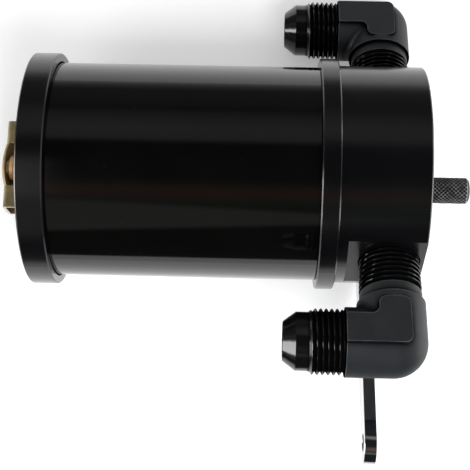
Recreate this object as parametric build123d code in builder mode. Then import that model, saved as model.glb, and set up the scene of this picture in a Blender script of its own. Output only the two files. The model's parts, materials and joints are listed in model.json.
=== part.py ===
from build123d import *
import os
from math import cos, radians, sin, sqrt, tan

os.makedirs("parts", exist_ok=True)

# Oil catch can: a tube between a turned base cap and a turned lid, two forged elbows in the
# lid's sides, a dipstick in the lid's roof, a drain petcock in the base and a bracket behind.
# Millimetres, +Z up along the can. The origin is the centre of the bracket's bolt hole, on the
# underside of its ear. Heights with "up" in their name are measured from the lid's seat, the
# face where the flange rests on the tube.

# Tube
tube_od = 76.2
tube_wall = 2.6
tube_exposed = 91.8

# Lid
flange_overhang = 3.1
flange_height = 6.35
barrel_overhang = 0.7
barrel_height = 30.1
lid_roof = 4.0
lid_spigot_wall = 7.9
flat_depth = 2.3
flat_start = 3.5
port_drop = 11.9

# Base cap
cap_lip_gap = 0.5
cap_lip_wall = 2.8
cap_height = 9.05
cap_floor = 4.0
boss_wall = 5.4
boss_height = 9.0

# Spigots of the lid and the base inside the tube, with their seal rings
spigot_height = 11.0
spigot_fit = 0.1
base_spigot_wall = 4.4
seal_section = 2.4
seal_touch = 0.02
seal_groove_slack = 0.5
seal_groove_up = 3.2

# Edges of the turned parts
edge_break = 0.4

# Elbows
flare_thread_od = 22.0
flare_thread_length = 12.0
flare_nose_step = 1.25
flare_nose_length = 4.3
flare_cone_angle = 37.0
flare_tip_land = 0.43
elbow_bore = 12.3
elbow_body_od = 23.2
elbow_pad_width = 10.4
elbow_pad_rise = 0.5
elbow_pad_corner = 2.6
elbow_pad_stop = 2.5
flare_body_run = 4.3
pipe_body_run = 2.5
crease_land = 0.3
pipe_neck_length = 3.9
pipe_neck_step = 0.1
pipe_thread_length = 19.5
pipe_thread_end_od = 20.2
pipe_taper = 1 / 16
thread_lead = 0.7
thread_fit = 0.05
port_lead = 0.4
port_runout = 1.5
port_bore = 15.0
inlet_standoff = 32.5
outlet_standoff = 31.0

# Dipstick
dip_inset = 3.5
dip_angle = -43.5
knob_od = 8.9
knob_height = 14.4
knob_bevel = 0.9
knob_crown = 0.5
knob_spigot_wall = 0.28
knob_spigot_gap = 0.4
rod_od = 3.0
rod_socket = 8.0
rod_tip_clearance = 3.0
dip_fit = 0.05
dip_seal_section = 1.2

# Drain petcock
pet_thread_od = 13.2
pet_thread_length = 11.0
pet_hex = 16.0
pet_hex_height = 3.0
pet_neck_wall = 1.05
pet_neck_height = 2.4
pet_outlet = 2.2
seat_bore = 4.0
seat_depth = 4.0
needle_angle = 45.0
stem_od = 6.4
stem_waist_od = 4.6
stem_fit = 0.05
stem_seal_section = 1.0
stem_head_gap = 0.3
stem_head_clear = 3.0
stem_tenon = 4.0
handle_angle = 20.0
handle_length = 31.8
handle_width = 11.6
handle_reach = 10.7
handle_clear = 0.3
handle_sheet = 1.1
handle_bend = 1.6
handle_notch = 16.0
handle_bulge = 1.25

# Bracket
ear_width = 14.4
ear_hole = 6.4
ear_reach = 86.85
ear_height = 11.15
bracket_flat_depth = 7.8
bracket_sheet = 4.2
bracket_bend = 1.5
bend_relief = 2.5
foot_width = 42.0
foot_height = 17.6
foot_corner = 3.0
screw_inset = 6.0
screw_od = 5.0
screw_length = 10.0
screw_key_depth = 1.6
screw_head_od = 9.5
screw_head_height = 2.8
screw_key = 3.0
screw_hole_slack = 0.3
washer_od = 10.0
washer_thickness = 1.0

# Baffle
post_count = 3
post_first_angle = 30.0
post_od = 4.6
post_length = 15.0
baffle_thickness = 1.5
baffle_hole = 5.0
baffle_ring_radius = 8.5
baffle_rings = 2
pad_thickness = 10.0
pad_edge_gap = 0.4
post_hole_slack = 0.3
rod_hole_slack = 1.0
baffle_screw_od = 3.0
baffle_screw_length = 6.0
baffle_screw_head_od = 5.6
baffle_screw_head_height = 1.9

# Places and radii that follow from the sizes above
tube_r = tube_od / 2
tube_bore_r = tube_r - tube_wall
spigot_r = tube_bore_r - spigot_fit
seal_floor_r = tube_bore_r - 2 * seal_touch - seal_section
flange_r = tube_r + flange_overhang
barrel_r = tube_r + barrel_overhang
cavity_r = spigot_r - lid_spigot_wall
flat_distance = barrel_r - flat_depth
bracket_flat_distance = barrel_r - bracket_flat_depth
cap_lip_r = tube_r + cap_lip_gap
cap_r = cap_lip_r + cap_lip_wall
post_radius = (cavity_r + seal_floor_r) / 2
lid_top = flange_height + barrel_height
port_up = lid_top - port_drop
roof_up = lid_top - lid_roof
tube_bottom = -(tube_exposed + cap_height - cap_floor)
base_face = tube_bottom - cap_floor

can_x = -ear_reach
can_y = -(bracket_flat_distance + ear_width / 2)
seat_z = -(flange_height + ear_height)

can_axis = Axis((can_x, can_y, seat_z), (0, 0, 1))
section = Plane((can_x, can_y, seat_z), x_dir=(1, 0, 0), z_dir=(0, -1, 0))


def level(up):
    """Plane across the can at a height above the lid's seat."""
    return Plane((can_x, can_y, seat_z + up))


def side_plane(angle, distance, up=0.0):
    """Plane that faces out of the can at an angle from +X, with its own y axis up."""
    out = (cos(radians(angle)), sin(radians(angle)), 0)
    origin = (can_x + distance * out[0], can_y + distance * out[1], seat_z + up)
    return Plane(origin, x_dir=(-out[1], out[0], 0), z_dir=out)


def polar(radius, angle):
    return (radius * cos(radians(angle)), radius * sin(radians(angle)))


def pipe_radius(from_end):
    """Outside radius of the elbow's taper thread, measured from the leg's end."""
    return pipe_thread_end_od / 2 + from_end * pipe_taper / 2


def pet_radius(above_base):
    """Outside radius of the petcock's taper thread, measured up from the base's face."""
    return pet_thread_od / 2 - above_base * pipe_taper / 2


post_places = [polar(post_radius, post_first_angle + i * 360 / post_count) for i in range(post_count)]
dip_place = polar(cavity_r - dip_inset, dip_angle)

# Body tube
with BuildPart() as body_tube:
    with BuildSketch(level(tube_bottom)):
        Circle(tube_r)
        Circle(tube_bore_r, mode=Mode.SUBTRACT)
    extrude(amount=-tube_bottom)
    chamfer(body_tube.edges().filter_by(GeomType.CIRCLE), edge_break / 2)
body_tube.part.label = "body_tube"
export_step(body_tube.part, "parts/body_tube.step")


def seal_groove(up):
    """Corners of the seal's groove in a spigot, from below upward, in the section plane."""
    half = (seal_section + seal_groove_slack) / 2
    low = up - half
    high = up + half
    return [(spigot_r, low), (seal_floor_r, low), (seal_floor_r, high), (spigot_r, high)]


lid_seal_up = -spigot_height + seal_groove_up + seal_section / 2
base_seal_up = tube_bottom + spigot_height - seal_groove_up - seal_section / 2

# Lid
screw_spacing = foot_width - 2 * screw_inset
screw_line_up = flange_height + ear_height + foot_height - screw_inset
screw_grip = bracket_sheet + washer_thickness
body_r = elbow_body_od / 2
pipe_body_length = body_r + pipe_body_run
flare_body_length = body_r + flare_body_run
pipe_leg_length = pipe_body_length + pipe_neck_length + pipe_thread_length
elbow_reaches = {0: flat_distance + outlet_standoff, 180: flat_distance + inlet_standoff}
rod_r = rod_od / 2
knob_spigot_r = rod_r + seal_touch + knob_spigot_wall + dip_seal_section
with BuildPart() as lid:
    with BuildSketch(section):
        with BuildLine():
            Polyline(
                (cavity_r, -spigot_height),
                (spigot_r - edge_break, -spigot_height),
                (spigot_r, -spigot_height + edge_break),
                *seal_groove(lid_seal_up),
                (spigot_r, 0),
                (flange_r - edge_break, 0),
                (flange_r, edge_break),
                (flange_r, flange_height - edge_break),
                (flange_r - edge_break, flange_height),
                (barrel_r, flange_height),
                (barrel_r, lid_top - edge_break),
                (barrel_r - edge_break, lid_top),
                (0, lid_top),
                (0, roof_up),
                (cavity_r, roof_up),
                close=True,
            )
        make_face()
    revolve(axis=can_axis)
    for angle, distance in ((0, flat_distance), (180, flat_distance), (90, bracket_flat_distance)):
        with BuildSketch(side_plane(angle, distance, flange_height + flat_start)):
            Rectangle(2 * barrel_r, lid_top, align=(Align.CENTER, Align.MIN))
        extrude(amount=barrel_r, mode=Mode.SUBTRACT)
    for angle, reach in elbow_reaches.items():
        end = reach - pipe_leg_length
        port = side_plane(angle, flat_distance, port_up)
        mouth_r = pipe_radius(flat_distance - end) + thread_fit
        port_depth = flat_distance - end + port_runout
        depth_r = pipe_radius(-port_runout) + thread_fit
        with BuildSketch(Plane(port.origin, x_dir=(0, 0, 1), z_dir=port.x_dir)):
            with BuildLine():
                Polyline(
                    (0, 0),
                    (mouth_r + port_lead, 0),
                    (mouth_r, -port_lead),
                    (depth_r, -port_depth),
                    (0, -port_depth),
                    close=True,
                )
            make_face()
        revolve(axis=Axis(port.origin, port.z_dir), mode=Mode.SUBTRACT)
        with BuildSketch(port):
            Circle(port_bore / 2)
        extrude(amount=-(flat_distance - cavity_r + port_bore / 2), mode=Mode.SUBTRACT)
    with BuildSketch(level(roof_up)):
        with Locations(dip_place):
            Circle(knob_spigot_r + dip_fit)
    extrude(amount=lid_roof, mode=Mode.SUBTRACT)
    with BuildSketch(side_plane(90, bracket_flat_distance, screw_line_up)):
        with GridLocations(screw_spacing, 0, 2, 1):
            Circle(screw_od / 2 + thread_fit)
    extrude(amount=-(screw_length - screw_grip + screw_hole_slack), mode=Mode.SUBTRACT)
    with BuildSketch(level(-spigot_height)):
        with Locations(*post_places):
            Circle(baffle_screw_od / 2 + thread_fit)
    extrude(amount=baffle_screw_length + post_hole_slack, mode=Mode.SUBTRACT)
lid.part.label = "lid"
export_step(lid.part, "parts/lid.step")

# Base cap
pet_boss_r = pet_radius(0) + boss_wall
boss_top = tube_bottom + boss_height
with BuildPart() as base_cap:
    with BuildSketch(section):
        with BuildLine():
            Polyline(
                (pet_radius(0) + thread_fit, base_face),
                (cap_r - edge_break, base_face),
                (cap_r, base_face + edge_break),
                (cap_r, base_face + cap_height - edge_break),
                (cap_r - edge_break, base_face + cap_height),
                (cap_lip_r, base_face + cap_height),
                (cap_lip_r, tube_bottom),
                (spigot_r, tube_bottom),
                *seal_groove(base_seal_up),
                (spigot_r, tube_bottom + spigot_height - edge_break),
                (spigot_r - edge_break, tube_bottom + spigot_height),
                (spigot_r - base_spigot_wall, tube_bottom + spigot_height),
                (spigot_r - base_spigot_wall, tube_bottom),
                (pet_boss_r, tube_bottom),
                (pet_boss_r, boss_top),
                (pet_radius(boss_top - base_face) + thread_fit, boss_top),
                close=True,
            )
        make_face()
    revolve(axis=can_axis)
base_cap.part.label = "base_cap"
export_step(base_cap.part, "parts/base_cap.step")

# Seal rings of the two spigots
for name, up in (("lid_seal", lid_seal_up), ("base_seal", base_seal_up)):
    with BuildPart() as seal:
        with BuildSketch(section):
            with Locations((seal_floor_r + seal_touch + seal_section / 2, up)):
                Circle(seal_section / 2)
        revolve(axis=can_axis)
    seal.part.label = name
    export_step(seal.part, f"parts/{name}.step")


def make_elbow(angle, reach):
    """Forged elbow: a taper thread leg that runs into the lid and a flare leg that hangs down."""
    corner = side_plane(angle, reach, port_up)
    across = corner.x_dir
    inward = corner.z_dir * -1
    down = Vector(0, 0, -1)
    neck_end = pipe_body_length + pipe_neck_length
    thread_end = flare_body_length + flare_thread_length
    nose_end = thread_end + flare_nose_length
    flare_r = flare_thread_od / 2
    nose_r = flare_r - flare_nose_step
    tip_r = elbow_bore / 2 + flare_tip_land
    tip = nose_end + (nose_r - tip_r) / tan(radians(flare_cone_angle))
    neck_r = pipe_radius(pipe_thread_length) - pipe_neck_step
    pad_half = elbow_pad_width / 2
    pad_out = sqrt(body_r**2 - pad_half**2) + elbow_pad_rise
    stop = pipe_body_length - elbow_pad_stop
    with BuildPart() as elbow:
        for leg, length in ((inward, pipe_body_length), (down, flare_body_length)):
            with BuildSketch(Plane(corner.origin, x_dir=across, z_dir=leg)):
                Circle(body_r)
            extrude(amount=length)
        with BuildSketch(Plane(corner.origin, x_dir=inward, z_dir=across)):
            with BuildLine():
                CenterArc((0, 0), body_r, 0, 180)
                Line((-body_r, 0), (body_r, 0))
            make_face()
        revolve(axis=Axis(corner.origin, inward))
        crease = corner.origin + (inward + down) * body_r
        fillet(elbow.edges().sort_by_distance(crease)[0], pipe_body_run - crease_land)
        for side in (1, -1):
            flat = corner.origin + across * (side * pad_out)
            with BuildSketch(Plane(flat, x_dir=inward, z_dir=across * side)) as pad:
                with BuildLine():
                    Polyline(
                        (-pad_half, side * pad_half),
                        (stop, side * pad_half),
                        (stop, -side * pad_half),
                        (pad_half, -side * pad_half),
                        (pad_half, -side * flare_body_length),
                        (-pad_half, -side * flare_body_length),
                        close=True,
                    )
                make_face()
                fillet(pad.vertices().filter_by(lambda vertex: abs(vertex.Y) < body_r), elbow_pad_corner)
            extrude(amount=-pad_out)
            extrude(pad.sketch, amount=body_r, mode=Mode.SUBTRACT)
        with BuildSketch(Plane(corner.origin, x_dir=inward, z_dir=across)):
            with BuildLine():
                Polyline(
                    (0, 0),
                    (0, neck_r),
                    (neck_end, neck_r),
                    (neck_end + thread_lead, pipe_radius(pipe_thread_length - thread_lead)),
                    (pipe_leg_length - thread_lead, pipe_radius(thread_lead)),
                    (pipe_leg_length, pipe_radius(0) - thread_lead),
                    (pipe_leg_length, 0),
                    close=True,
                )
            make_face()
        revolve(axis=Axis(corner.origin, inward))
        with BuildSketch(Plane(corner.origin, x_dir=down, z_dir=across)):
            with BuildLine():
                Polyline(
                    (0, 0),
                    (0, nose_r),
                    (flare_body_length, nose_r),
                    (flare_body_length, flare_r),
                    (thread_end - thread_lead, flare_r),
                    (thread_end, flare_r - thread_lead),
                    (thread_end, nose_r),
                    (nose_end, nose_r),
                    (tip, tip_r),
                    (tip, 0),
                    close=True,
                )
            make_face()
        revolve(axis=Axis(corner.origin, down))
        for leg, length in ((inward, pipe_leg_length), (down, tip)):
            with BuildSketch(Plane(corner.origin, x_dir=across, z_dir=leg)):
                Circle(elbow_bore / 2)
            extrude(amount=length, mode=Mode.SUBTRACT)
        with BuildSketch(Plane(corner.origin, x_dir=inward, z_dir=across)):
            with BuildLine():
                CenterArc((0, 0), elbow_bore / 2, 0, 180)
                Line((-elbow_bore / 2, 0), (elbow_bore / 2, 0))
            make_face()
        revolve(axis=Axis(corner.origin, inward), mode=Mode.SUBTRACT)
    return elbow


for name, angle in (("outlet_elbow", 0), ("inlet_elbow", 180)):
    elbow = make_elbow(angle, elbow_reaches[angle])
    elbow.part.label = name
    export_step(elbow.part, f"parts/{name}.step")

# Dipstick: the knob, its seal ring and the rod
dip_x = can_x + dip_place[0]
dip_y = can_y + dip_place[1]
dip_axis = Axis((dip_x, dip_y, seat_z), (0, 0, 1))
dip_section = Plane((dip_x, dip_y, seat_z), x_dir=(1, 0, 0), z_dir=(0, -1, 0))
knob_top = lid_top + knob_height
knob_spigot_end = roof_up + knob_spigot_gap
dip_seal_up = (lid_top + knob_spigot_end) / 2
dip_seal_floor = knob_spigot_r + dip_fit - 2 * seal_touch - dip_seal_section
dip_groove = (dip_seal_section + seal_groove_slack / 2) / 2
with BuildPart() as dipstick_knob:
    with BuildSketch(dip_section):
        with BuildLine():
            knob_side = Polyline(
                (0, knob_top),
                (0, knob_spigot_end),
                (knob_spigot_r, knob_spigot_end),
                (knob_spigot_r, dip_seal_up - dip_groove),
                (dip_seal_floor, dip_seal_up - dip_groove),
                (dip_seal_floor, dip_seal_up + dip_groove),
                (knob_spigot_r, dip_seal_up + dip_groove),
                (knob_spigot_r, lid_top + dip_fit),
                (knob_od / 2, lid_top + dip_fit),
                (knob_od / 2, knob_top - knob_crown - knob_bevel),
                (knob_od / 2 - knob_bevel, knob_top - knob_crown),
            )
            TangentArc(knob_side @ 0, knob_side @ 1, tangent=(1, 0))
        make_face()
    revolve(axis=dip_axis)
    with BuildSketch(Plane((dip_x, dip_y, seat_z + knob_spigot_end))):
        Circle(rod_r + seal_touch)
    extrude(amount=rod_socket, mode=Mode.SUBTRACT)
dipstick_knob.part.label = "dipstick_knob"
export_step(dipstick_knob.part, "parts/dipstick_knob.step")

with BuildPart() as dipstick_seal:
    with BuildSketch(dip_section):
        with Locations((dip_seal_floor + seal_touch + dip_seal_section / 2, dip_seal_up)):
            Circle(dip_seal_section / 2)
    revolve(axis=dip_axis)
dipstick_seal.part.label = "dipstick_seal"
export_step(dipstick_seal.part, "parts/dipstick_seal.step")

rod_bottom = tube_bottom + rod_tip_clearance
with BuildPart() as dipstick_rod:
    with BuildSketch(Plane((dip_x, dip_y, seat_z + rod_bottom))):
        Circle(rod_r)
    extrude(amount=knob_spigot_end + rod_socket - rod_bottom)
    fillet(dipstick_rod.faces().sort_by(Axis.Z)[0].edges(), rod_r / 2)
dipstick_rod.part.label = "dipstick_rod"
export_step(dipstick_rod.part, "parts/dipstick_rod.step")

# Petcock body: taper thread in the base's boss, hexagon, neck, seat and side outlet
thread_top = base_face + pet_thread_length
hex_bottom = base_face - pet_hex_height
neck_bottom = hex_bottom - pet_neck_height
stem_bore_r = stem_od / 2 + stem_fit
neck_r = stem_bore_r + pet_neck_wall
seat_start = thread_top - seat_depth
needle_slope = 1 / tan(radians(needle_angle))
seat_end = seat_start - (stem_bore_r - seat_bore / 2) * needle_slope
with BuildPart() as petcock_body:
    with BuildSketch(section):
        with BuildLine():
            Polyline(
                (0, thread_top),
                (pet_radius(pet_thread_length) - thread_lead, thread_top),
                (pet_radius(pet_thread_length - thread_lead), thread_top - thread_lead),
                (pet_radius(0), base_face),
                (neck_r, base_face),
                (neck_r, neck_bottom),
                (0, neck_bottom),
                close=True,
            )
        make_face()
    revolve(axis=can_axis)
    with BuildSketch(level(hex_bottom)):
        RegularPolygon(pet_hex / 2, 6, major_radius=False, rotation=handle_angle)
    extrude(amount=pet_hex_height)
    with BuildSketch(section):
        with BuildLine():
            Polyline(
                (0, thread_top),
                (seat_bore / 2, thread_top),
                (seat_bore / 2, seat_start),
                (stem_bore_r, seat_end),
                (stem_bore_r, neck_bottom),
                (0, neck_bottom),
                close=True,
            )
        make_face()
    revolve(axis=can_axis, mode=Mode.SUBTRACT)
    with BuildSketch(side_plane(handle_angle, 0, base_face - pet_hex_height / 2)):
        Circle(pet_outlet / 2)
    extrude(amount=pet_hex, mode=Mode.SUBTRACT)
petcock_body.part.label = "petcock_body"
export_step(petcock_body.part, "parts/petcock_body.step")

# Petcock stem: needle on the seat, waist past the outlet, seal, head and tenon through the handle
handle_top = base_face - handle_reach
bulge_outer = handle_top - handle_bulge
bulge_inner = bulge_outer + handle_sheet
head_start = neck_bottom - stem_head_clear
stem_head_r = handle_width / 2 - handle_sheet - stem_head_gap
needle_apex = seat_start + seat_bore / 2 * needle_slope - stem_fit / sin(radians(needle_angle))
stem_waist_r = stem_waist_od / 2
needle_end = needle_apex - stem_waist_r / 2 * needle_slope
stem_seal_up = hex_bottom - pet_neck_height / 2
stem_seal_floor = stem_bore_r - 2 * seal_touch - stem_seal_section
stem_groove = (stem_seal_section + seal_groove_slack / 2) / 2
with BuildPart() as petcock_stem:
    with BuildSketch(section):
        with BuildLine():
            stem_side = Polyline(
                (0, bulge_inner),
                (0, needle_end),
                (stem_waist_r / 2, needle_end),
                (stem_waist_r, needle_apex - stem_waist_r * needle_slope),
                (stem_waist_r, hex_bottom),
                (stem_od / 2, hex_bottom),
                (stem_od / 2, stem_seal_up + stem_groove),
                (stem_seal_floor, stem_seal_up + stem_groove),
                (stem_seal_floor, stem_seal_up - stem_groove),
                (stem_od / 2, stem_seal_up - stem_groove),
                (stem_od / 2, head_start),
                (stem_head_r, head_start),
                (stem_head_r, head_start - handle_sheet),
            )
            TangentArc(stem_side @ 0, stem_side @ 1, tangent=(1, 0))
        make_face()
    revolve(axis=can_axis)
    with BuildSketch(level(bulge_outer).rotated((0, 0, handle_angle))):
        Rectangle(stem_tenon, stem_tenon)
    extrude(until=Until.NEXT)
petcock_stem.part.label = "petcock_stem"
export_step(petcock_stem.part, "parts/petcock_stem.step")

with BuildPart() as petcock_seal:
    with BuildSketch(section):
        with Locations((stem_seal_floor + seal_touch + stem_seal_section / 2, stem_seal_up)):
            Circle(stem_seal_section / 2)
    revolve(axis=can_axis)
petcock_seal.part.label = "petcock_seal"
export_step(petcock_seal.part, "parts/petcock_seal.step")

# Petcock handle: one folded sheet, a channel with a raised middle and a notch in its front flange
along = Vector(cos(radians(handle_angle)), sin(radians(handle_angle)), 0)
front = Vector(along.Y, -along.X, 0)
handle_origin = Vector(can_x, can_y, seat_z + base_face)
half_length = handle_length / 2
half_width = handle_width / 2
flange_edge = -(pet_hex_height + pet_neck_height + handle_clear)
web_face = handle_sheet - handle_reach


def side_outline(face, side):
    """Closed outline of the channel seen from its front, with its web at a given face."""
    with BuildSketch(side) as outline:
        with BuildLine():
            Polyline(
                (-half_length, face),
                (-half_length, flange_edge),
                (half_length, flange_edge),
                (half_length, face),
            )
            Line((-half_length, face), (-handle_notch / 2, face))
            ThreePointArc((-handle_notch / 2, face), (0, face - handle_bulge), (handle_notch / 2, face))
            Line((handle_notch / 2, face), (half_length, face))
        make_face()
        for end in (-handle_notch / 2, handle_notch / 2):
            fillet(outline.vertices().sort_by_distance((end, face))[0], handle_bend)
    return outline.sketch


with BuildPart() as petcock_handle:
    handle_side = Plane(handle_origin, x_dir=along, z_dir=front)
    extrude(side_outline(-handle_reach, handle_side), amount=half_width, both=True)
    walls = petcock_handle.faces().filter_by(Axis(handle_origin, front))
    web_top = handle_origin.Z - handle_reach + handle_sheet
    fillet(walls.edges().filter_by(lambda edge: edge.center().Z < web_top), handle_bend)
    hollow = side_outline(web_face, handle_side)
    extrude(hollow, amount=half_width - handle_sheet, both=True, mode=Mode.SUBTRACT)
    with BuildSketch(Plane(handle_origin + front * (half_width - handle_bend), x_dir=along, z_dir=front)):
        with BuildLine():
            Polyline(
                (-handle_notch / 2, web_face),
                (-handle_notch / 2, flange_edge),
                (handle_notch / 2, flange_edge),
                (handle_notch / 2, web_face),
            )
            ThreePointArc(
                (-handle_notch / 2, web_face),
                (0, web_face - handle_bulge),
                (handle_notch / 2, web_face),
            )
        make_face()
    extrude(amount=handle_bend, mode=Mode.SUBTRACT)
    with BuildSketch(level(bulge_outer).rotated((0, 0, handle_angle))):
        Rectangle(stem_tenon + 2 * stem_fit, stem_tenon + 2 * stem_fit)
    extrude(amount=handle_sheet + handle_bulge, mode=Mode.SUBTRACT)
petcock_handle.part.label = "petcock_handle"
export_step(petcock_handle.part, "parts/petcock_handle.step")

# Bracket: a foot on the lid's back flat, bent out into an arm with a round ear
back = bracket_flat_distance
bend_outer = bracket_bend + bracket_sheet
ear_up = flange_height + ear_height
foot_half = foot_width / 2
foot_end = Plane((can_x - foot_half, can_y, seat_z + ear_up), x_dir=(0, 1, 0), z_dir=(1, 0, 0))
with BuildPart() as bracket:
    with BuildSketch(foot_end) as profile:
        with BuildLine():
            Polyline(
                (back, 0),
                (back + ear_width, 0),
                (back + ear_width, bracket_sheet),
                (back + bracket_sheet, bracket_sheet),
                (back + bracket_sheet, foot_height),
                (back, foot_height),
                close=True,
            )
        make_face()
        fillet(profile.vertices().sort_by_distance((back, 0))[0], bend_outer)
        fillet(profile.vertices().sort_by_distance((back + bracket_sheet, bracket_sheet))[0], bracket_bend)
    extrude(amount=foot_width)
    with BuildSketch(level(ear_up)):
        with Locations((0, back + ear_width)):
            Rectangle(ear_reach, ear_width - bend_outer, align=(Align.MIN, Align.MAX))
        with Locations((foot_half + bend_relief, back + ear_width)):
            Rectangle(ear_reach - foot_half - bend_relief, ear_width, align=(Align.MIN, Align.MAX))
        with Locations((ear_reach, back + ear_width / 2)):
            Circle(ear_width / 2)
            Circle(ear_hole / 2, mode=Mode.SUBTRACT)
    extrude(amount=bracket_sheet)
    with BuildSketch(side_plane(90, back, screw_line_up)):
        with GridLocations(screw_spacing, 0, 2, 1):
            Circle(screw_od / 2 + screw_hole_slack)
    extrude(amount=bracket_sheet, mode=Mode.SUBTRACT)
    top_corners = bracket.edges().filter_by(Axis.Y).group_by(Axis.Z)[-1]
    fillet(top_corners, foot_corner)
bracket.part.label = "bracket"
export_step(bracket.part, "parts/bracket.step")

with BuildPart() as bracket_washers:
    with BuildSketch(side_plane(90, back + bracket_sheet, screw_line_up)):
        with GridLocations(screw_spacing, 0, 2, 1):
            Circle(washer_od / 2)
            Circle(screw_od / 2 + screw_hole_slack, mode=Mode.SUBTRACT)
    extrude(amount=washer_thickness)
bracket_washers.part.label = "bracket_washers"
export_step(bracket_washers.part, "parts/bracket_washers.step")

with BuildPart() as bracket_screws:
    with BuildSketch(side_plane(90, back + screw_grip, screw_line_up)):
        with GridLocations(screw_spacing, 0, 2, 1):
            Circle(screw_od / 2)
    extrude(amount=-screw_length)
    with BuildSketch(side_plane(90, back + screw_grip, screw_line_up)):
        with GridLocations(screw_spacing, 0, 2, 1):
            Circle(screw_head_od / 2)
    extrude(amount=screw_head_height)
    fillet(bracket_screws.faces().group_by(Axis.Y)[-1].edges(), screw_head_height * 0.7)
    with BuildSketch(side_plane(90, back + screw_grip + screw_head_height, screw_line_up)):
        with GridLocations(screw_spacing, 0, 2, 1):
            RegularPolygon(screw_key / 2, 6, major_radius=False)
    extrude(amount=-screw_key_depth, mode=Mode.SUBTRACT)
bracket_screws.part.label = "bracket_screws"
export_step(bracket_screws.part, "parts/bracket_screws.step")

# Baffle: posts under the lid, a mesh pad round them and a perforated plate below
plate_up = -spigot_height - post_length
pad_r = tube_bore_r - pad_edge_gap
rod_hole_r = rod_r + rod_hole_slack
screw_hole_r = baffle_screw_od / 2 + thread_fit
with BuildPart() as baffle_posts:
    with BuildSketch(level(plate_up)):
        with Locations(*post_places):
            Circle(post_od / 2)
            Circle(screw_hole_r, mode=Mode.SUBTRACT)
    extrude(amount=post_length)
baffle_posts.part.label = "baffle_posts"
export_step(baffle_posts.part, "parts/baffle_posts.step")

with BuildPart() as mesh_pad:
    with BuildSketch(level(plate_up)):
        Circle(pad_r)
        with Locations(*post_places):
            Circle(post_od / 2 + post_hole_slack, mode=Mode.SUBTRACT)
        with Locations(dip_place):
            Circle(rod_hole_r, mode=Mode.SUBTRACT)
    extrude(amount=pad_thickness)
mesh_pad.part.label = "mesh_pad"
export_step(mesh_pad.part, "parts/mesh_pad.step")

with BuildPart() as baffle_plate:
    with BuildSketch(level(plate_up)):
        Circle(pad_r)
        Circle(baffle_hole / 2, mode=Mode.SUBTRACT)
        for ring in range(1, baffle_rings + 1):
            with PolarLocations(ring * baffle_ring_radius, 6 * ring):
                Circle(baffle_hole / 2, mode=Mode.SUBTRACT)
        with Locations(*post_places):
            Circle(screw_hole_r, mode=Mode.SUBTRACT)
        with Locations(dip_place):
            Circle(rod_hole_r, mode=Mode.SUBTRACT)
    extrude(amount=-baffle_thickness)
baffle_plate.part.label = "baffle_plate"
export_step(baffle_plate.part, "parts/baffle_plate.step")

with BuildPart() as baffle_screws:
    with BuildSketch(level(plate_up - baffle_thickness)):
        with Locations(*post_places):
            Circle(baffle_screw_od / 2)
    extrude(amount=baffle_thickness + post_length + baffle_screw_length)
    with BuildSketch(level(plate_up - baffle_thickness)):
        with Locations(*post_places):
            Circle(baffle_screw_head_od / 2)
    extrude(amount=-baffle_screw_head_height)
    fillet(baffle_screws.faces().group_by(Axis.Z)[0].edges(), baffle_screw_head_height / 2)
baffle_screws.part.label = "baffle_screws"
export_step(baffle_screws.part, "parts/baffle_screws.step")
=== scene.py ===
import json
from math import cos, floor, hypot, pi, radians, sin

import bmesh
import bpy
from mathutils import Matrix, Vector


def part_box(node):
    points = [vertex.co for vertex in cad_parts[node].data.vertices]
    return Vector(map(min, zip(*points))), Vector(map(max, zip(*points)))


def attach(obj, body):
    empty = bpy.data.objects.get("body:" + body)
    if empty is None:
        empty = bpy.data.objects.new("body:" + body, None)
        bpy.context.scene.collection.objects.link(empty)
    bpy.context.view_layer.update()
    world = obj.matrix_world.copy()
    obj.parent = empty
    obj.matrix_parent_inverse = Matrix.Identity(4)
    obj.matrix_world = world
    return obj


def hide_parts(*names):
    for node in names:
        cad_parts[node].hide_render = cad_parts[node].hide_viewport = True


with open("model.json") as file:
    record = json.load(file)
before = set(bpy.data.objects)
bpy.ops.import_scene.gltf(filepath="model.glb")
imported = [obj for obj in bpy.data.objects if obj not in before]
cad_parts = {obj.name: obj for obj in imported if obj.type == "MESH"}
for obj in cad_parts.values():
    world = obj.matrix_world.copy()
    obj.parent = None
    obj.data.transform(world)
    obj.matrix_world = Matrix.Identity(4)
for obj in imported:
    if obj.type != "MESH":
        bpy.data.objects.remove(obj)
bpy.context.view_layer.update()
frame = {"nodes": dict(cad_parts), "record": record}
nodes = frame["nodes"]

MM = 0.001

# The can's axis, a point near its middle, and the dipstick knob's axis and radius, in metres
MIDDLE_BELOW_TUBE_END = 30 * MM
tube_low, tube_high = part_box("body_tube")
can_x = (tube_low.x + tube_high.x) / 2
can_y = (tube_low.y + tube_high.y) / 2
can_middle = Vector((can_x, can_y, tube_high.z - MIDDLE_BELOW_TUBE_END))
knob_low, knob_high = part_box("dipstick_knob")
knob_x = (knob_low.x + knob_high.x) / 2
knob_y = (knob_low.y + knob_high.y) / 2
knob_radius = (knob_high.x - knob_low.x) / 2

# The can lies on its back on pale paper, turned about its own axis, and the camera looks down on it
LEAN = radians(25)
table_normal = Vector((sin(LEAN), -cos(LEAN), 0))
image_down = Vector((cos(LEAN), sin(LEAN), 0))
image_right = Vector((0, 0, 1))


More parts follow.
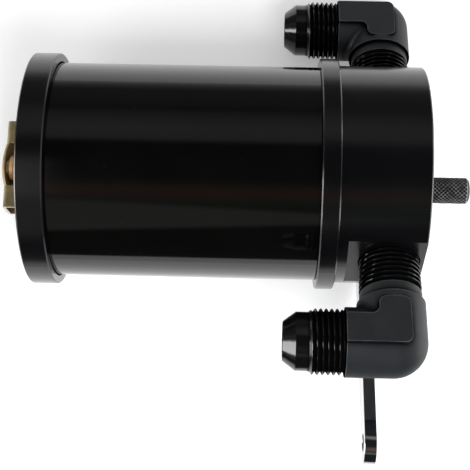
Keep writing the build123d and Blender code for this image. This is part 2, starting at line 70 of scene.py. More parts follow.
class Wire:
    """A value in a finish. Sums and products of wires and numbers add Math nodes."""

    def __init__(self, finish, socket):
        self.finish = finish
        self.socket = socket

    def maths(self, operation, *values):
        return self.finish.node("ShaderNodeMath", {"operation": operation}, dict(enumerate(values)))

    def __add__(self, other):
        return self.maths("ADD", self, other)

    def __radd__(self, other):
        return self.maths("ADD", other, self)

    def __sub__(self, other):
        return self.maths("SUBTRACT", self, other)

    def __rsub__(self, other):
        return self.maths("SUBTRACT", other, self)

    def __mul__(self, other):
        return self.maths("MULTIPLY", self, other)

    def __rmul__(self, other):
        return self.maths("MULTIPLY", other, self)

    def __truediv__(self, other):
        return self.maths("DIVIDE", self, other)

    def __rtruediv__(self, other):
        return self.maths("DIVIDE", other, self)

    def __pow__(self, other):
        return self.maths("POWER", self, other)

    def __rpow__(self, other):
        return self.maths("POWER", other, self)

    def clamped(self):
        """The value, kept between 0 and 1."""
        return self.maths("MAXIMUM", self.maths("MINIMUM", self, 1.0), 0.0)

    def above(self, edge, soft):
        """0 below the edge and 1 above it, over a soft width."""
        return ((self - edge) / soft + 0.5).clamped()

    def below(self, edge, soft):
        """1 below the edge and 0 above it, over a soft width."""
        return ((edge - self) / soft + 0.5).clamped()


class Finish:
    """A node tree of a material or a world, with one way to add any node."""

    def __init__(self, owner):
        owner.use_nodes = True
        self.tree = owner.node_tree
        self.tree.nodes.clear()
        self.owner = owner

    def node(self, kind, settings=None, inputs=None, output=0):
        """Adds a node: its settings first, then its inputs. Gives back one of its outputs."""
        made = self.tree.nodes.new(kind)
        for key, value in (settings or {}).items():
            if key == "stops":
                ramp = made.color_ramp.elements
                while len(ramp) < len(value):
                    ramp.new(1.0)
                for stop, (place, tone) in zip(ramp, value):
                    stop.position = place
                    stop.color = (*tone, 1.0)
            else:
                setattr(made, key, value)
        for key, value in (inputs or {}).items():
            if isinstance(value, Wire):
                self.tree.links.new(value.socket, made.inputs[key])
            else:
                made.inputs[key].default_value = value
        return Wire(self, made.outputs[output]) if len(made.outputs) else None

    def place(self):
        """Where a point of the piece is, in metres in the part's frame at rest."""
        return self.node("ShaderNodeTexCoord", output="Object")

    def rays(self, kind):
        """1 for rays of one kind, such as Camera or Glossy, and 0 for the others."""
        return self.node("ShaderNodeLightPath", output=f"Is {kind} Ray")

    def split(self, vector):
        made = self.node("ShaderNodeSeparateXYZ", inputs={0: vector})
        return [Wire(self, output) for output in made.socket.node.outputs]

    def joined(self, x, y, z):
        return self.node("ShaderNodeCombineXYZ", inputs={0: x, 1: y, 2: z})

    def towards(self, vector, direction):
        """How far a vector points along a direction."""
        return self.node(
            "ShaderNodeVectorMath",
            {"operation": "DOT_PRODUCT"},
            {0: vector, 1: direction},
            output="Value",
        )

    def noise(self, vector, scale, detail=3.0, roughness=0.5):
        values = {"Vector": vector, "Scale": scale, "Detail": detail, "Roughness": roughness}
        return self.node("ShaderNodeTexNoise", inputs=values)

    def ramp(self, factor, stops):
        return self.node("ShaderNodeValToRGB", {"stops": stops}, {"Fac": factor})

    def mixed(self, factor, first, second):
        """A colour between two colours."""
        return self.node(
            "ShaderNodeMix",
            {"data_type": "RGBA"},
            {0: factor, 6: first, 7: second},
            output=2,
        )

    def bumped(self, height, distance, strength=1.0):
        values = {"Strength": strength, "Distance": distance, "Height": height}
        return self.node("ShaderNodeBump", inputs=values)

    def radius(self, centre_x, centre_y):
        """How far a point is from an upright axis."""
        x, y, _ = self.split(self.place())
        dx = x - centre_x
        dy = y - centre_y
        return (dx * dx + dy * dy) ** 0.5

    def rings(self, centre_x, centre_y, fine):
        """Marks of a turning tool: they change with radius and height, and not round the axis."""
        _, _, z = self.split(self.place())
        turned = self.joined(self.radius(centre_x, centre_y) * fine, z * fine, 0.0)
        return self.noise(turned, scale=1.0, detail=4.0, roughness=0.65)

    def lines(self, fine_x, fine_y, fine_z, detail=3.0):
        """Marks of drawing or brushing: they run along the axis with the smallest number."""
        x, y, z = self.split(self.place())
        stretched = self.joined(x * fine_x, y * fine_y, z * fine_z)
        return self.noise(stretched, scale=1.0, detail=detail)

    def worn_edges(self, width, gain=5):
        """1 along the sharp edges of a piece and 0 on its open faces."""
        rounded = self.node("ShaderNodeBevel", {"samples": 4}, {"Radius": width})
        straight = self.node("ShaderNodeNewGeometry", output="Normal")
        return ((1 - self.towards(rounded, straight)) * gain).clamped()

    def crevices(self, reach, open_at=0.97, soft=0.18):
        """1 deep in grooves and creases and 0 on open faces, from ambient occlusion: the mask of painted
        shade.
        """
        open_sky = self.node(
            "ShaderNodeAmbientOcclusion",
            {"samples": 8},
            {"Distance": reach},
            output="AO",
        )
        return ((open_at - open_sky) / soft).clamped()

    def coated(self, painted_shade=None, **values):
        """Ends the tree in one Principled surface, with painted shade: dull black mixed in where a shade mask
        is given.
        """
        inputs = {key.replace("_", " "): value for key, value in values.items()}
        surface = self.node("ShaderNodeBsdfPrincipled", inputs=inputs)
        if painted_shade:
            # Painted shade: a near-black diffuse surface stands in for the shade in creases and grooves
            black = self.node("ShaderNodeBsdfDiffuse", inputs={"Color": grey(PAINTED_SHADE_TONE)})
            surface = self.node("ShaderNodeMixShader", inputs={0: painted_shade, 1: surface, 2: black})
        self.node("ShaderNodeOutputMaterial", inputs={"Surface": surface})
        return self.owner


def new_finish(name):
    return Finish(bpy.data.materials.new(name))


def grey(value):
    return (value, value, value, 1.0)


def colour(red, green, blue):
    return (red, green, blue, 1.0)


# The clear film on dyed aluminium, the painted shade in deep creases, and how deep the knurl's points are
# rubbed
FILM_IOR = 1.5
PAINTED_SHADE_TONE = 0.002
RUB_DEPTH = 0.11 * MM
RUB_SOFT = 0.12 * MM

# Wire wool of the mesh pad
STRANDS_PER_METRE = 1300.0
STRAND_FINENESS = 5.0


def gloss_anodised():
    """Drawn tube, polished and dyed black: nearly a mirror, with faint lengthwise drawing lines."""
    finish = new_finish("gloss_anodised")
    place = finish.place()
    drawn = finish.lines(900, 900, 14)
    patches = finish.noise(place, scale=55.0, detail=4.0)
    dust = finish.noise(place, scale=1800.0, detail=2.0).above(0.76, soft=0.04)
    dyed = finish.mixed(patches, colour(0.0008, 0.0008, 0.0008), colour(0.0020, 0.0019, 0.0018))
    return finish.coated(
        Base_Color=finish.mixed(dust * patches, dyed, grey(0.030)),
        Roughness=0.04 + 0.05 * patches + 0.03 * drawn,
        IOR=FILM_IOR,
        Normal=finish.bumped(drawn, 0.0006 * MM),
    )


def satin_anodised():
    """Turned aluminium, dyed black: fine tool rings under a satin film, thin on the edges."""
    finish = new_finish("satin_anodised")
    marks = finish.rings(can_x, can_y, fine=9000.0)
    patches = finish.noise(finish.place(), scale=70.0, detail=5.0)
    worn = finish.worn_edges(0.25 * MM) * patches.above(0.48, soft=0.2)
    dyed = finish.mixed(patches, colour(0.0010, 0.0011, 0.0014), colour(0.0028, 0.0029, 0.0034))
    return finish.coated(
        Base_Color=finish.mixed(worn, dyed, colour(0.030, 0.031, 0.034)),
        Roughness=0.15 + 0.07 * patches + 0.05 * marks,
        IOR=FILM_IOR,
        Normal=finish.bumped(marks, 0.003 * MM),
    )


def blasted_anodised():
    """Forged aluminium, bead blasted and dyed black, with pale edges that are partly wear and partly painted
    highlight, and painted shade in its creases.
    """
    finish = new_finish("blasted_anodised")
    place = finish.place()
    grain = finish.noise(place, scale=2600.0, detail=2.0)
    blotch = finish.noise(place, scale=160.0, detail=4.0)
    # Painted shade: a wide and a narrow occlusion mask darken the crease between the legs and the foot of the
    # pads
    creases = finish.crevices(9.0 * MM, open_at=0.90, soft=0.24)
    painted_shade = (finish.crevices(2.5 * MM) + creases).clamped()
    rubbed = 0.4 + 0.6 * blotch.above(0.46, soft=0.2)
    # Pale edges: partly wear of the dye, partly a painted highlight along edges that catch light
    worn = finish.worn_edges(0.35 * MM) * rubbed * (1 - painted_shade)
    dyed = finish.mixed(blotch, colour(0.0095, 0.0112, 0.0135), colour(0.0170, 0.0190, 0.0215))
    return finish.coated(
        painted_shade=painted_shade,
        Base_Color=finish.mixed(worn, dyed, colour(0.190, 0.200, 0.210)),
        Roughness=0.44 + 0.14 * grain + 0.06 * blotch,
        IOR=FILM_IOR,
        Normal=finish.bumped(grain + 0.5 * blotch, 0.03 * MM, strength=0.6),
    )


def cut_thread():
    """Thread and flare cut after forging: the same dye on smooth turned metal, with painted shade in the
    roots of the thread.
    """
    finish = new_finish("cut_thread")
    patches = finish.noise(finish.place(), scale=300.0)
    return finish.coated(
        # Painted shade in the thread's roots, from the occlusion mask
        painted_shade=finish.crevices(1.5 * MM),
        Base_Color=finish.mixed(patches, colour(0.0016, 0.0017, 0.0020), colour(0.0042, 0.0044, 0.0050)),
        Roughness=0.09 + 0.06 * patches,
        IOR=FILM_IOR,
        Normal=finish.bumped(patches, 0.008 * MM, strength=0.5),
    )


def knurled_dye():
    """Dyed knurl, darkest in the grooves and paler on the points where fingers rub."""
    finish = new_finish("knurled_dye")
    patches = finish.noise(finish.place(), scale=500.0)
    points = finish.radius(knob_x, knob_y).above(knob_radius - RUB_DEPTH, soft=RUB_SOFT)
    rubbed = points * (0.35 + 0.65 * patches.above(0.46, soft=0.2))
    dyed = finish.mixed(patches, colour(0.0020, 0.0020, 0.0024), colour(0.0050, 0.0050, 0.0056))
    return finish.coated(
        Base_Color=finish.mixed(rubbed, dyed, colour(0.300, 0.300, 0.310)),
        Roughness=0.42 + 0.10 * patches,
        IOR=FILM_IOR,
        Normal=finish.bumped(patches, 0.01 * MM, strength=0.4),
    )


def black_nickel():
    """Bright plate with a smoky black tint, nearly a mirror, with the sheet's rolling under it."""
    finish = new_finish("black_nickel")
    place = finish.place()
    rolled = finish.noise(place, scale=260.0)
    patches = finish.noise(place, scale=90.0, detail=4.0)
    worn = finish.worn_edges(0.2 * MM) * patches.above(0.5, soft=0.2)
    plated = finish.mixed(patches, colour(0.43, 0.44, 0.46), colour(0.52, 0.53, 0.55))
    return finish.coated(
        Base_Color=finish.mixed(worn, plated, colour(0.70, 0.70, 0.71)),
        Metallic=1.0,
        Roughness=0.07 + 0.07 * patches,
        Normal=finish.bumped(rolled, 0.03 * MM, strength=0.5),
    )


def yellow_zinc():
    """Zinc plate with a yellow passivate: olive and straw patches that drift over the sheet."""
    finish = new_finish("yellow_zinc")
    place = finish.place()
    drift = finish.noise(place, scale=130.0, detail=4.0, roughness=0.6)
    rolled = finish.noise(place, scale=1500.0)
    olive_to_straw = [
        (0.30, (0.17, 0.14, 0.075)),
        (0.50, (0.30, 0.24, 0.125)),
        (0.72, (0.42, 0.32, 0.17)),
    ]
    return finish.coated(
        Base_Color=finish.ramp(drift, olive_to_straw),
        Metallic=0.55,
        Roughness=0.36 + 0.14 * drift,
        Normal=finish.bumped(rolled, 0.01 * MM, strength=0.5),
    )


def sheared_edge():
    """The handle's sheared edges: pale bare metal with a light pink cast and shear lines."""
    finish = new_finish("sheared_edge")
    shear = finish.noise(finish.place(), scale=1100.0, detail=4.0, roughness=0.7)
    return finish.coated(
        Base_Color=finish.mixed(shear, colour(0.60, 0.48, 0.40), colour(0.86, 0.74, 0.64)),
        Metallic=0.3,
        Roughness=0.34 + 0.2 * shear,
        Normal=finish.bumped(shear, 0.02 * MM, strength=0.6),
    )


def machined_brass():
    """Turned brass with tool rings and a slight stain."""
    finish = new_finish("machined_brass")
    marks = finish.rings(can_x, can_y, fine=7000.0)
    stain = finish.noise(finish.place(), scale=400.0, detail=4.0)
    return finish.coated(
        Base_Color=finish.mixed(stain, colour(0.92, 0.58, 0.28), colour(1.00, 0.74, 0.43)),
        Metallic=0.55,
        Roughness=0.22 + 0.12 * stain + 0.08 * marks,
        Normal=finish.bumped(marks, 0.006 * MM),
    )


def bare_steel():
    """Drawn steel rod, with fine lines along its length."""
    finish = new_finish("bare_steel")
    drawn = finish.lines(3000, 3000, 40)
    return finish.coated(
        Base_Color=finish.mixed(drawn, grey(0.44), grey(0.60)),
        Metallic=1.0,
        Roughness=0.24 + 0.12 * drawn,
        Normal=finish.bumped(drawn, 0.003 * MM),
    )


def black_oxide():
    """Oil-blacked steel of the screws and washers, brown where the oxide is thin."""
    finish = new_finish("black_oxide")
    patches = finish.noise(finish.place(), scale=600.0, detail=4.0)
    worn = finish.worn_edges(0.2 * MM) * patches.above(0.5, soft=0.2)
    oxide = finish.mixed(patches, grey(0.012), colour(0.030, 0.027, 0.025))
    return finish.coated(
        Base_Color=finish.mixed(worn, oxide, grey(0.20)),
        Metallic=0.6,
        Roughness=0.34 + 0.14 * patches,
        Normal=finish.bumped(patches, 0.01 * MM, strength=0.4),
    )


def bare_aluminium():
    """Mill-finish aluminium of the baffle, brushed across the sheet."""
    finish = new_finish("bare_aluminium")
    brushed = finish.lines(60, 2600, 2600, detail=4.0)
    return finish.coated(
        Base_Color=finish.mixed(brushed, grey(0.50), grey(0.66)),
        Metallic=1.0,
        Roughness=0.30 + 0.14 * brushed,
        Normal=finish.bumped(brushed, 0.004 * MM),
    )


def packed_wire():
    """Wire wool, seen as a dense tangle of fine strands."""
    finish = new_finish("packed_wire")
    place = finish.place()
    bent = finish.noise(place, scale=240.0)
    from_strand = finish.node(
        "ShaderNodeTexVoronoi",
        {"feature": "DISTANCE_TO_EDGE"},
        {"Vector": place, "Scale": STRANDS_PER_METRE},
    )
    strands = (1 - from_strand * STRAND_FINENESS).clamped()
    return finish.coated(
        Base_Color=finish.mixed(strands * bent, grey(0.06), grey(0.55)),
        Metallic=0.9,
        Roughness=0.35 + 0.2 * bent,
        Normal=finish.bumped(strands, 0.3 * MM),
    )


def moulded_rubber():
    """Black seal rubber with a dull bloom."""
    finish = new_finish("moulded_rubber")
    bloom = finish.noise(finish.place(), scale=700.0, detail=4.0)
    return finish.coated(
        Base_Color=finish.mixed(bloom, grey(0.010), grey(0.022)),
        Roughness=0.55 + 0.2 * bloom,
        Normal=finish.bumped(bloom, 0.01 * MM, strength=0.4),
    )


finishes = {
    "tube_black": gloss_anodised(),
    "satin_black": satin_anodised(),
    "fitting_black": blasted_anodised(),
    "knob_black": knurled_dye(),
    "bracket_black": black_nickel(),
    "dark_steel": black_oxide(),
    "bare_steel": bare_steel(),
    "bare_aluminium": bare_aluminium(),
    "mesh_steel": packed_wire(),
    "brass": machined_brass(),
    "zinc_yellow": yellow_zinc(),
    "seal_rubber": moulded_rubber(),
}
thread_finish = cut_thread()
edge_finish = sheared_edge()

slot_of = {entry["node"]: entry["material_slot"] for entry in frame["record"]["subparts"]}
for name, node in nodes.items():
    node.data.materials.clear()
    node.data.materials.append(finishes[slot_of[name]])

# Mesh work that the pieces share. A piece's own finish is its first material, an extra one its second
OWN_FINISH = 0
EXTRA_FINISH = 1
WELD_REACH = 0.001 * MM
CREASE_ANGLE = radians(32)
BREAK_ANGLE = radians(40)
BREAK_STEPS = 2
BROKEN_EDGE = 0.12 * MM


def into_scene(name, data):
    made = bpy.data.objects.new(name, data)
    bpy.context.scene.collection.objects.link(made)
    return made


def welded_copy(node_name):
    """A mesh to work on, with the form of a node and its faces joined at their edges."""
    made = bmesh.new()
    made.from_mesh(nodes[node_name].data)
    bmesh.ops.remove_doubles(made, verts=made.verts, dist=WELD_REACH)
    for face in made.faces:
        face.material_index = OWN_FINISH
    return made


def new_piece(made, name, stands_for, body, extra_finishes=()):
    """Puts a worked mesh into the scene in place of a node, in that node's own finish."""
    made.normal_update()
    for face in made.faces:
        face.smooth = True
    for edge in made.edges:
        edge.smooth = edge.calc_face_angle(0.0) < CREASE_ANGLE
    mesh = bpy.data.meshes.new(name)
    made.to_mesh(mesh)
    made.free()
    slot = slot_of[stands_for]
    for finish in (finishes[slot], *extra_finishes):
        mesh.materials.append(finish)
    piece = into_scene(name, mesh)
    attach(piece, body)
    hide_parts(stands_for)
    return piece


def even_shading(piece):
    """Keeps the shading of flat faces flat beside small curved ones."""
    weighed = piece.modifiers.new("even_shading", "WEIGHTED_NORMAL")
    weighed.keep_sharp = True


def break_edges(piece, width):
    """Rounds the sharp edges of a piece a little, as a file or a tumbler does."""
    rounded = piece.modifiers.new("broken_edges", "BEVEL")
    rounded.width = width
    rounded.segments = BREAK_STEPS
    rounded.limit_method = "ANGLE"
    rounded.angle_limit = BREAK_ANGLE


def add_sleeve(made, rows, origin, along, side, material):
    """Adds faces round an axis: each row is a distance along it and the radii round it."""
    other = along.cross(side)
    rings = []
    for distance, radii in rows:
        ring = []
        for j, radius in enumerate(radii):
            turn = 2 * pi * j / len(radii)
            point = origin + along * distance + (side * cos(turn) + other * sin(turn)) * radius
            ring.append(made.verts.new(point))
        rings.append(ring)
    for lower, upper in zip(rings, rings[1:]):
        for j in range(len(lower)):
            k = (j + 1) % len(lower)
            made.faces.new((lower[j], lower[k], upper[k], upper[j])).material_index = material


# Elbows: 7/8-14 thread on the flare legs, 1/2-14 taper thread on the pipe legs, and a raised pad on each side
PITCH = 25.4 / 14 * MM
THREAD_DEPTH = 0.62 * PITCH
ROOT_FLAT = 0.12
FLANK_RISE = 0.70
ROOT_GAP = 0.15 * MM
ELBOW_BODY_R = 11.6 * MM
FLARE_R = 11.0 * MM
FLARE_THREAD = (15.9 * MM, 27.9 * MM)
PIPE_END_R = 10.1 * MM
PIPE_TAPER = 1 / 32
PIPE_THREAD = (18.0 * MM, 37.5 * MM)
THREAD_LEAD = 1.1 * MM
TURN_STEPS = 96
PITCH_STEPS = 12
LEG_NEAR = 0.05 * MM
PAD_FACE = 10.87 * MM
PAD_RISE = 0.68 * MM
PAD_NEAR = 0.01 * MM
PAD_FLATNESS = 0.9999


def flare_crest(along):
    """Radius of the straight thread's crests."""
    return FLARE_R


def pipe_crest(along):
    """Radius of the taper thread's crests, smallest at the leg's end."""
    return PIPE_END_R + (PIPE_THREAD[1] - along) * PIPE_TAPER


def tooth(phase):
    """Height of a 60 degree thread over one pitch, from 0 at the root to 1 at the crest."""
    phase -= floor(phase)
    rise = 1 - abs(2 * phase - 1)
    return min(1.0, max(0.0, (rise - ROOT_FLAT) / FLANK_RISE))


def thread_rows(start, end, crest_at):
    """Radii of a thread along and round its leg, with a closing row inside each end."""
    steps = int((end - start) / PITCH * PITCH_STEPS)
    inner = crest_at(end) - 2 * THREAD_DEPTH
    rows = [(start, [inner] * TURN_STEPS)]
    for i in range(steps + 1):
        along = start + (end - start) * i / steps
        fade = min(1.0, (along - start) / THREAD_LEAD, (end - along) / THREAD_LEAD)
        root = crest_at(along) - THREAD_DEPTH
        radii = []
        for j in range(TURN_STEPS):
            radii.append(root + THREAD_DEPTH * fade * tooth(along / PITCH - j / TURN_STEPS))
        rows.append((along, radii))
    rows.append((end, [inner] * TURN_STEPS))
    return rows


def raise_pads(made):
    """Lifts the two flat pads of an elbow to the crown of its round body, with upright sides."""
    pads = []
    for face in made.faces:
        level = abs(face.calc_center_median().y - can_y)
        if abs(face.normal.y) > PAD_FLATNESS and abs(level - PAD_FACE) < PAD_NEAR:
            pads.append(face)
    lifted = bmesh.ops.extrude_face_region(made, geom=pads)["geom"]
    for vert in lifted:
        if isinstance(vert, bmesh.types.BMVert):
            vert.co.y += PAD_RISE if vert.co.y > can_y else -PAD_RISE
    bmesh.ops.delete(made, geom=[face for face in pads if face.is_valid], context="FACES_ONLY")


def thread_leg(made, corner, leg, ends, crest_at):
    """Draws a plain leg in to the roots of its thread, and puts the thread on it as cut metal."""
    start, end = ends
    for vert in made.verts:
        offset = vert.co - corner
        along = offset.dot(leg)
        radial = offset - leg * along
        crest = crest_at(along)
        on_body_end = abs(along - start) < LEG_NEAR and abs(radial.length - crest) < LEG_NEAR
        on_thread = start + LEG_NEAR < along < end + LEG_NEAR and radial.length > crest - THREAD_DEPTH
        if on_body_end or on_thread:
            vert.co = corner + leg * along + radial.normalized() * (crest - THREAD_DEPTH - ROOT_GAP)
    for face in made.faces:
        if (face.calc_center_median() - corner).dot(leg) > start + LEG_NEAR:
            face.material_index = EXTRA_FINISH
    across = Vector((0, 1, 0))
    add_sleeve(made, thread_rows(start, end, crest_at), corner, leg, across, EXTRA_FINISH)


def elbow_piece(node_name, piece_name, port_side):
    """The elbow with its pads raised and the threads of its two legs cut."""
    low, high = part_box(node_name)
    reach_x = high.x - ELBOW_BODY_R if port_side > 0 else low.x + ELBOW_BODY_R
    corner = Vector((reach_x, can_y, high.z - ELBOW_BODY_R))
    down = Vector((0, 0, -1))
    inward = Vector((-port_side, 0, 0))
    made = welded_copy(node_name)
    raise_pads(made)
    thread_leg(made, corner, down, FLARE_THREAD, flare_crest)
    thread_leg(made, corner, inward, PIPE_THREAD, pipe_crest)
    even_shading(new_piece(made, piece_name, node_name, "can", [thread_finish]))


elbow_piece("outlet_elbow", "outlet_elbow_threaded", 1)
elbow_piece("inlet_elbow", "inlet_elbow_threaded", -1)


# Knurl of the dipstick's knob: two crossing sets of ridges with diamond pits between them
KNURL_STARTS = 20
KNURL_PITCH = 1.4 * MM
KNURL_DEPTH = 0.45 * MM
KNURL_SHARPNESS = 2.0
KNURL_ROUND = 200
KNURL_ALONG = 90
KNURL_END = 0.35 * MM
GRIP_NEAR = 0.02 * MM


def ridge(phase):
    """1 on a ridge between two grooves and 0 in the groove."""
    return abs(2 * (phase - floor(phase)) - 1)


def on_grip(vert):
    """Whether a point is on the knob's plain round grip."""
    return abs(hypot(vert.co.x - knob_x, vert.co.y - knob_y) - knob_radius) < GRIP_NEAR


def knurled_knob():
    """The knob with its plain grip cut away and a knurled sleeve in its place."""
    made = welded_copy("dipstick_knob")
    plain_grip = [face for face in made.faces if all(on_grip(vert) for vert in face.verts)]
    grip_heights = [vert.co.z for face in plain_grip for vert in face.verts]
    grip_low = min(grip_heights)
    grip_high = max(grip_heights)
    bmesh.ops.delete(made, geom=plain_grip, context="FACES")
    rows = []
    for i in range(KNURL_ALONG + 1):
        along = (grip_high - grip_low) * i / KNURL_ALONG
        fade = min(1.0, along / KNURL_END, (grip_high - grip_low - along) / KNURL_END)
        radii = []
        for j in range(KNURL_ROUND):
            turn = KNURL_STARTS * j / KNURL_ROUND
            left = ridge(turn + along / KNURL_PITCH)
            right = ridge(turn - along / KNURL_PITCH)
            height = max(left, right) ** KNURL_SHARPNESS
            radii.append(knob_radius - KNURL_DEPTH * fade * (1 - height))
        rows.append((along, radii))
    origin = Vector((knob_x, knob_y, grip_low))
    add_sleeve(made, rows, origin, Vector((0, 0, 1)), Vector((1, 0, 0)), OWN_FINISH)
    new_piece(made, "dipstick_knob_knurled", "dipstick_knob", "dipstick")


knurled_knob()


# Petcock handle, turned about the can's axis: the folded sheet with its sheared edges bright
HANDLE_TURN = radians(20)
HANDLE_SHEET = 1.1 * MM
FLANGE_EDGE = 1.05 * HANDLE_SHEET
SQUARE_ON = 0.9


def folded_handle():
    """The handle with its edges broken, and pale where the sheet was sheared."""
    along = Vector((cos(HANDLE_TURN), sin(HANDLE_TURN), 0))
    front = Vector((along.y, -along.x, 0))
    axis = Vector((can_x, can_y, 0))
    made = welded_copy("petcock_handle")
    half_width = max((vert.co - axis).dot(front) for vert in made.verts)
    for face in made.faces:
        offset = abs((face.calc_center_median() - axis).dot(front))
        flange_edge = face.normal.z > SQUARE_ON and offset > half_width - FLANGE_EDGE
        end_edge = abs(face.normal.dot(along)) > SQUARE_ON
        if flange_edge or end_edge:
            face.material_index = EXTRA_FINISH
    piece = new_piece(made, "petcock_handle_sheared", "petcock_handle", "drain", [edge_finish])
    break_edges(piece, BROKEN_EDGE)
    even_shading(piece)


folded_handle()


def plated_bracket():
    """The bracket with the edges of its sheet broken."""
    piece = new_piece(welded_copy("bracket"), "bracket_plated", "bracket", "can")
    break_edges(piece, BROKEN_EDGE)
    even_shading(piece)


plated_bracket()


# Paper that the can lies on, in metres: white to the camera, and in gloss grey towards the picture's lower
# edge, a painted shade in its reflection
PAPER_DROP = 41.5 * MM
PAPER_NEAR = 0.16
PAPER_FAR = 0.50
PAPER_SIDE = 0.28
PAPER_WHITE = 0.80
PAPER_GLOW = 0.30
PAPER_GLOSS_SHADE_FROM = 0.11
PAPER_GLOSS_SHADE_SOFT = 0.12
PAPER_GLOSS_SHADE_GREY = 0.35


def pale_table():
    """White paper, clear from its back, with a glow that only the camera, gloss and glass see."""
    finish = new_finish("pale_table")
    glossy = finish.rays("Glossy")
    seen = finish.rays("Camera") + glossy + finish.rays("Transmission")
    front = 1 - finish.node("ShaderNodeNewGeometry", output="Backfacing")
    below_can = finish.towards(finish.place(), image_down) - can_middle.dot(image_down)
    # Painted shade in the paper's reflection: gloss sees it grey from a set distance towards the picture's
    # lower edge
    painted_gloss_shade = glossy * below_can.above(PAPER_GLOSS_SHADE_FROM, soft=PAPER_GLOSS_SHADE_SOFT)
    paper = finish.mixed(painted_gloss_shade, grey(PAPER_WHITE), grey(PAPER_GLOSS_SHADE_GREY))
    sheet = finish.node("ShaderNodeBsdfDiffuse", inputs={"Color": paper})
    glow = finish.node("ShaderNodeEmission", inputs={"Color": grey(1.0), "Strength": PAPER_GLOW})
    lit = finish.node("ShaderNodeAddShader", inputs={0: sheet, 1: glow})
    shown = finish.node("ShaderNodeMixShader", inputs={0: seen.clamped(), 1: sheet, 2: lit})
    clear = finish.node("ShaderNodeBsdfTransparent")
    one_sided = finish.node("ShaderNodeMixShader", inputs={0: front, 1: clear, 2: shown})
    finish.node("ShaderNodeOutputMaterial", inputs={"Surface": one_sided})
    return finish.owner


def table():
    """The flat paper under the can. It is no piece of the can and casts no shadow."""
    centre = can_middle - table_normal * PAPER_DROP
    near = centre + image_down * PAPER_NEAR
    far = centre - image_down * PAPER_FAR
    side = image_right * PAPER_SIDE
    mesh = bpy.data.meshes.new("table")
    mesh.from_pydata([near - side, near + side, far + side, far - side], [], [(0, 1, 2, 3)])
    mesh.materials.append(pale_table())
    sheet = into_scene("table", mesh)
    if mesh.polygons[0].normal.dot(table_normal) < 0:
        mesh.flip_normals()
    sheet.visible_shadow = False


table()


# The room that shows in gloss, by the angle from overhead: below zero towards the picture's top
ROOM = [
    (-180, (0.05, 0.05, 0.05)),
    (-115, (0.30, 0.30, 0.30)),
    (-104, (0.90, 0.90, 0.90)),
    (-99, (0.70, 0.70, 0.70)),
    (-93, (0.28, 0.28, 0.28)),
    (-86, (0.10, 0.10, 0.10)),
    (-66, (0.09, 0.09, 0.09)),
    (-59, (0.06, 0.06, 0.06)),
    (-52, (0.15, 0.15, 0.15)),
    (-45, (0.21, 0.21, 0.21)),
    (-36, (0.28, 0.28, 0.28)),
    (-25, (0.25, 0.25, 0.25)),
    (-19, (0.015, 0.015, 0.015)),
    (17, (0.02, 0.02, 0.02)),
    (22, (0.06, 0.05, 0.035)),
    (28, (0.17, 0.10, 0.07)),
    (34, (0.21, 0.10, 0.09)),
    (40, (0.11, 0.10, 0.08)),
    (46, (0.06, 0.09, 0.07)),
    (58, (0.02, 0.02, 0.02)),
    (180, (0.02, 0.02, 0.02)),
]
SOFT_LIGHT = 0.60


def studio_room(finish):
    """The room as gloss shows it: dim walls, with panels, bright ends and lamps over them."""
    # A ray's share along each way of the picture, and its angle from overhead in degrees
    ray = finish.node("ShaderNodeTexCoord", output="Generated")
    up = finish.towards(ray, table_normal)
    down = finish.towards(ray, image_down)
    right = finish.towards(ray, image_right)
    left = finish.towards(ray, -image_right)
    angle = down.maths("ARCTAN2", down, up) * (180 / pi)

    window = (angle - 45 * right).above(50, soft=5) * angle.below(68 - 60 * right, soft=5)
    side_panel = left.above(0.20, soft=0.04) * angle.above(0, soft=10) * angle.below(38, soft=10)
    upper_half = up.above(0.0, soft=0.1)
    left_end = left.above(0.80, soft=0.25) * upper_half * down.above(-0.04, soft=0.10)
    right_end = right.above(0.85, soft=0.25) * upper_half
    low_band = up.below(-0.11, soft=0.06) * up.above(-0.32, soft=0.06)
    left_strip = left.above(0.90, soft=0.06) * low_band * down.above(-0.12, soft=0.16)
    right_strip = right.above(0.90, soft=0.06) * low_band
    lamp_height = down.above(0.04, soft=0.05) * down.below(0.66, soft=0.06)
    left_lamp = left.above(0.76, soft=0.08) * up.above(-0.02, soft=0.05) * lamp_height

    # Each patch with its brightness, the later ones over the earlier
    patches = [
        (window, colour(0.24, 0.235, 0.225)),
        (side_panel, grey(0.9)),
        (left_end, grey(1.6)),
        (right_end, grey(0.9)),
        (right_strip, grey(6.0)),
        ((left_strip + left_lamp).clamped(), grey(10.0)),
    ]
    room = finish.ramp(angle / 360 + 0.5, [(degrees / 360 + 0.5, tone) for degrees, tone in ROOM])
    for patch, tone in patches:
        room = finish.mixed(patch, room, tone)
    return room


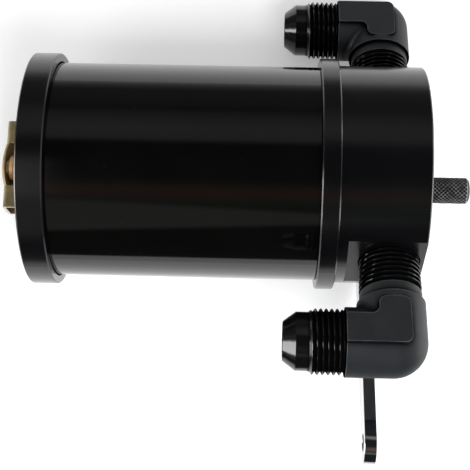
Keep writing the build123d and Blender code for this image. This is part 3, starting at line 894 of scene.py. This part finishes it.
def studio_world():
    """White to the camera, the room for gloss, and soft grey light for the rest."""
    world = bpy.data.worlds.new("studio")
    bpy.context.scene.world = world
    finish = Finish(world)
    soft = finish.node("ShaderNodeBackground", inputs={"Color": grey(SOFT_LIGHT), "Strength": 1.0})
    mirror = finish.node("ShaderNodeBackground", inputs={"Color": studio_room(finish), "Strength": 1.0})
    white = finish.node("ShaderNodeBackground", inputs={"Color": grey(1.0), "Strength": 1.0})
    lit = finish.node("ShaderNodeMixShader", inputs={0: finish.rays("Glossy"), 1: soft, 2: mirror})
    shown = finish.node("ShaderNodeMixShader", inputs={0: finish.rays("Camera"), 1: lit, 2: white})
    finish.node("ShaderNodeOutputWorld", inputs={"Surface": shown})


studio_world()


# Soft boxes, with their places and sizes in metres and their power in watts
def lamp(name, right, down, up, size, power):
    """A square soft box that faces the can, placed from its middle, and doesn't show in gloss."""
    data = bpy.data.lights.new(name, "AREA")
    data.shape = "RECTANGLE"
    data.size = size
    data.size_y = size
    data.energy = power
    box = into_scene(name, data)
    box.location = can_middle + image_right * right + image_down * down + table_normal * up
    box.rotation_euler = (can_middle - box.location).to_track_quat("-Z", "Y").to_euler()
    box.visible_glossy = False


lamp("key_box", right=0.25, down=0.45, up=0.65, size=0.4, power=6.5)
lamp("fill_box", right=-0.50, down=0.40, up=0.50, size=0.5, power=1.5)


# Camera, from a fit to the can's edges: metres and radians in the part's frame, sensor and lens in mm
CAMERA_PLACE = (0.155397, -0.378588, -0.038426)
CAMERA_TURN = (-0.856926, -1.541852, 2.992511)
CAMERA_SENSOR = 36.0
CAMERA_LENS = 88.54
CAMERA_NEAREST = 0.01
CAMERA_FARTHEST = 20.0


def photo_camera():
    """Puts the camera at the photograph's point of view."""
    data = bpy.data.cameras.new("camera")
    data.sensor_width = CAMERA_SENSOR
    data.lens = CAMERA_LENS
    data.clip_start = CAMERA_NEAREST
    data.clip_end = CAMERA_FARTHEST
    camera = into_scene("camera", data)
    camera.location = CAMERA_PLACE
    camera.rotation_euler = CAMERA_TURN
    bpy.context.scene.camera = camera


photo_camera()

bpy.context.scene.view_settings.view_transform = "Standard"
